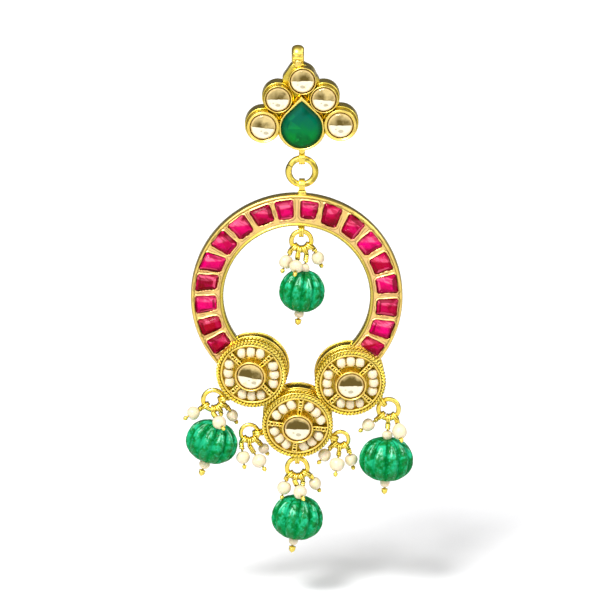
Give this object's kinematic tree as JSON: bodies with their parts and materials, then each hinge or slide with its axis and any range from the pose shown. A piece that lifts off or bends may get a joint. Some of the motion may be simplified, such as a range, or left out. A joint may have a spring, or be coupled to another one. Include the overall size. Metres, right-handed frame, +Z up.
{
  "type": "kundan drop earring",
  "caption": "Kundan drop earring: stone-set stud, link ring, ruby-set open hoop with rosettes, and pearl and carved bead drops.",
  "frame": {"origin": "middle of the stud's back plate, where the post enters the ear lobe", "axes": "+Z up along the hanging earring, +Y along the post into the ear, +X to the wearer's left as seen from the front at the right"},
  "size_m": [0.0341, 0.016, 0.0778],
  "materials": {
    "gold": "bright gold plate, worn satin on the walls",
    "ruby": "hand-cut, polished, foil behind",
    "emerald": "polished, foil behind",
    "foiled_stone": "flat-cut clear stone over foil",
    "pearl": "soft pearl lustre",
    "carved_green": "carved and polished"
  },
  "bodies": {
    "stud": {"stud_frame": "gold", "ear_post": "gold", "teardrop_emerald": "emerald", "stud_stone_top": "foiled_stone", "stud_stone_upper_left": "foiled_stone", "stud_stone_upper_right": "foiled_stone", "stud_stone_lower_left": "foiled_stone", "stud_stone_lower_right": "foiled_stone"},
    "link": {"link_ring": "gold"},
    "drop": {"hoop_frame": "gold", "ruby_left_1": "ruby", "ruby_left_2": "ruby", "ruby_left_3": "ruby", "ruby_left_4": "ruby", "ruby_left_5": "ruby", "ruby_left_6": "ruby", "ruby_left_7": "ruby", "ruby_left_8": "ruby", "ruby_left_9": "ruby", "ruby_right_1": "ruby", "ruby_right_2": "ruby", "ruby_right_3": "ruby", "ruby_right_4": "ruby", "ruby_right_5": "ruby", "ruby_right_6": "ruby", "ruby_right_7": "ruby", "ruby_right_8": "ruby", "ruby_right_9": "ruby", "rosette_left_stone": "foiled_stone", "rosette_right_stone": "foiled_stone", "rosette_middle_stone": "foiled_stone", "rosette_left_pearls": "pearl", "rosette_right_pearls": "pearl", "rosette_middle_pearls": "pearl", "ring_inner": "gold", "ring_left": "gold", "ring_middle_left": "gold", "ring_bottom": "gold", "ring_middle_right": "gold", "ring_right": "gold", "pins_inner": "gold", "pins_left": "gold", "pins_middle_left": "gold", "pins_bottom": "gold", "pins_middle_right": "gold", "pins_right": "gold", "pearls_inner": "pearl", "pearls_left": "pearl", "pearls_middle_left": "pearl", "pearls_bottom": "pearl", "pearls_middle_right": "pearl", "pearls_right": "pearl", "melon_inner": "carved_green", "melon_left": "carved_green", "melon_bottom": "carved_green", "melon_right": "carved_green"}
  },
  "joints": [
    {"name": "ring_sway", "type": "hinge", "parent": "stud", "child": "link", "pos_m": [0, -0.0016, -0.00739], "axis": [0, 1, 0], "range_deg": [-30, 30]},
    {"name": "drop_swing", "type": "hinge", "parent": "link", "child": "drop", "pos_m": [0, -0.0016, -0.01057], "axis": [1, 0, 0], "range_deg": [-45, 45]}
  ]
}
